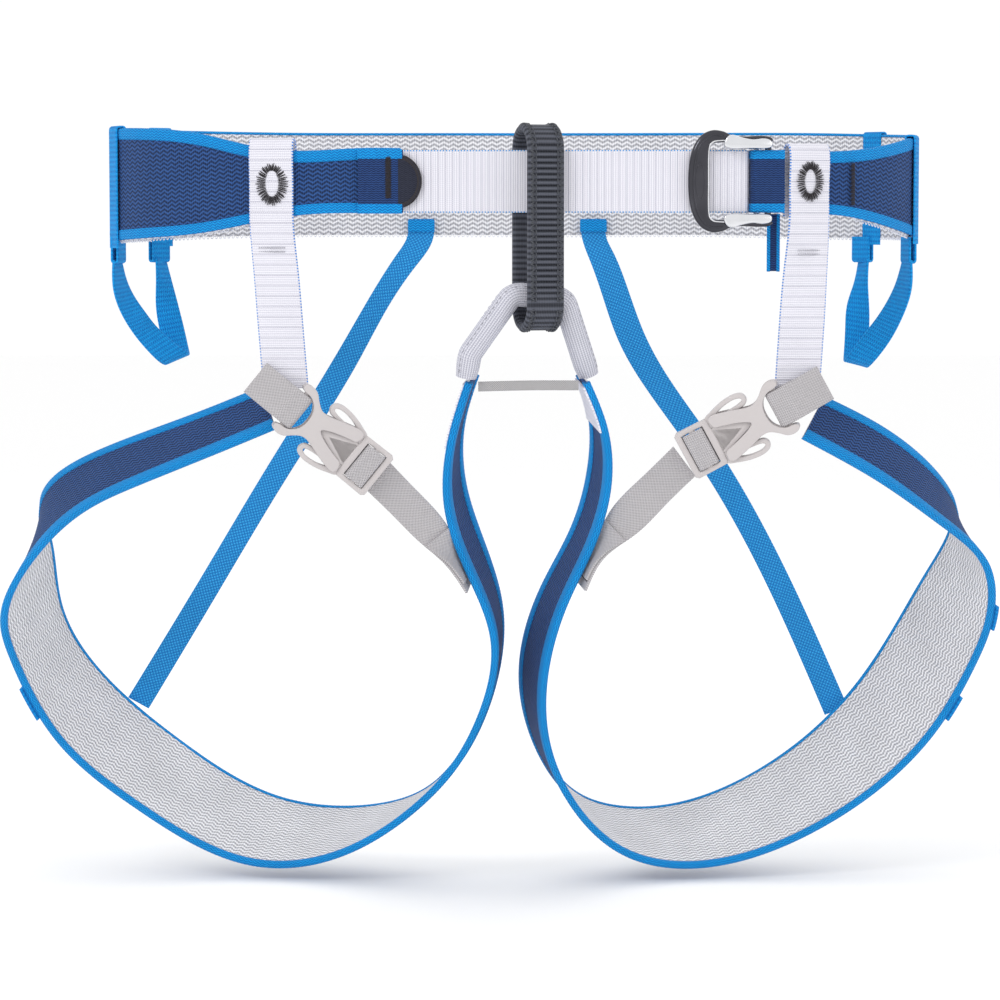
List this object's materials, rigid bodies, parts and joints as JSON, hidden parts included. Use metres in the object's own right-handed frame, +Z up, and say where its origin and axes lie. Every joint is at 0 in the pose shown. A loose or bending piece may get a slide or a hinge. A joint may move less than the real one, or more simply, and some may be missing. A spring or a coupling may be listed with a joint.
{
  "type": "climbing harness",
  "caption": "Light climbing harness with a webbing waist belt and metal buckle, belay loop, tie-in loop, two leg loops with side-release buckles, rear elastics and gear loops.",
  "frame": {"origin": "centre of the waist opening, at the belt's mid-height", "axes": "+X to the right as seen from the front, +Y from the front to the back, +Z up"},
  "size_m": [0.4193, 0.1441, 0.3177],
  "materials": {
    "navy_webbing": "woven polyester webbing",
    "navy_patch": "satin stitched patch",
    "grey_mesh": "open zigzag mesh",
    "blue_webbing": "woven edge binding",
    "white_webbing": "cross-ribbed webbing",
    "core_cord": "parallel load-bearing yarns",
    "grey_webbing": "basket-weave webbing",
    "dark_thread": "dense bar stitching",
    "charcoal_webbing": "ribbed sewn webbing",
    "dark_metal": "dark polished anodised",
    "bright_metal": "polished",
    "grey_plastic": "moulded, slightly satin"
  },
  "bodies": {
    "harness": {"belt_edge_lower": "blue_webbing", "belt_edge_upper": "blue_webbing", "belt_inner_mesh": "grey_mesh", "belt_outer_webbing": "navy_webbing", "belt_wraps_left": "blue_webbing", "belt_wraps_right": "blue_webbing", "buckle_anchor_webbing": "navy_webbing", "buckle_slider": "bright_metal", "crossbar_elastic": "grey_webbing", "elastic_tab_left": "blue_webbing", "elastic_tab_right": "blue_webbing", "gear_loop_tabs_left": "blue_webbing", "gear_loop_tabs_right": "blue_webbing", "left_anchor_webbing": "grey_webbing", "left_buckle_socket": "grey_plastic", "leg_left_adjust_webbing": "grey_webbing", "leg_left_edge_back": "blue_webbing", "leg_left_edge_front": "blue_webbing", "leg_left_end_patch": "white_webbing", "leg_left_inner_mesh": "grey_mesh", "leg_left_outer_webbing": "navy_webbing", "leg_left_tab": "blue_webbing", "leg_right_adjust_webbing": "grey_webbing", "leg_right_edge_back": "blue_webbing", "leg_right_edge_front": "blue_webbing", "leg_right_end_patch": "white_webbing", "leg_right_inner_mesh": "grey_mesh", "leg_right_outer_webbing": "navy_webbing", "leg_right_tab": "blue_webbing", "rear_elastic_left": "blue_webbing", "rear_elastic_right": "blue_webbing", "right_anchor_webbing": "grey_webbing", "right_buckle_socket": "grey_plastic", "riser_bartack_left": "dark_thread", "riser_bartack_right": "dark_thread", "riser_left": "white_webbing", "riser_right": "white_webbing", "strap_end_bartack": "dark_thread", "strap_end_patch": "navy_patch", "strap_tail_tab": "blue_webbing", "tie_in_core": "core_cord", "tie_in_sheath": "white_webbing", "waist_strap": "white_webbing", "wing_bartack": "dark_thread"},
    "belay_ring": {"belay_loop": "charcoal_webbing", "belay_loop_stitching": "dark_thread"},
    "gear_left": {"gear_loop_left": "blue_webbing"},
    "gear_right": {"gear_loop_right": "blue_webbing"},
    "plug_left": {"left_buckle_plug": "grey_plastic", "left_ladder_webbing": "grey_webbing"},
    "plug_right": {"right_buckle_plug": "grey_plastic", "right_ladder_webbing": "grey_webbing"},
    "waist_frame": {"buckle_frame": "dark_metal"}
  },
  "joints": [
    {"name": "belay_loop_turn", "type": "hinge", "parent": "harness", "child": "belay_ring", "pos_m": [0.012, -0.063, -0.0185], "axis": [0, 0, 1], "range_deg": [-10, 8]},
    {"name": "gear_loop_left_swing", "type": "hinge", "parent": "harness", "child": "gear_left", "pos_m": [-0.1619, -0.011, -0.0312], "axis": [0.2479, 0.9688, 0], "range_deg": [-10, 80]},
    {"name": "gear_loop_right_swing", "type": "hinge", "parent": "harness", "child": "gear_right", "pos_m": [0.1667, -0.011, -0.0312], "axis": [0.2809, -0.9597, 0], "range_deg": [-10, 80]},
    {"name": "left_plug_release", "type": "slide", "parent": "harness", "child": "plug_left", "axis": [0.7611, 0.1502, -0.6309], "range_m": [0, 0.024]},
    {"name": "right_plug_release", "type": "slide", "parent": "harness", "child": "plug_right", "axis": [-0.8699, 0.15, -0.4699], "range_m": [0, 0.024]},
    {"name": "waist_frame_slide", "type": "slide", "parent": "harness", "child": "waist_frame", "axis": [-0.989, -0.148, 0], "range_m": [0, 0.0035]}
  ]
}
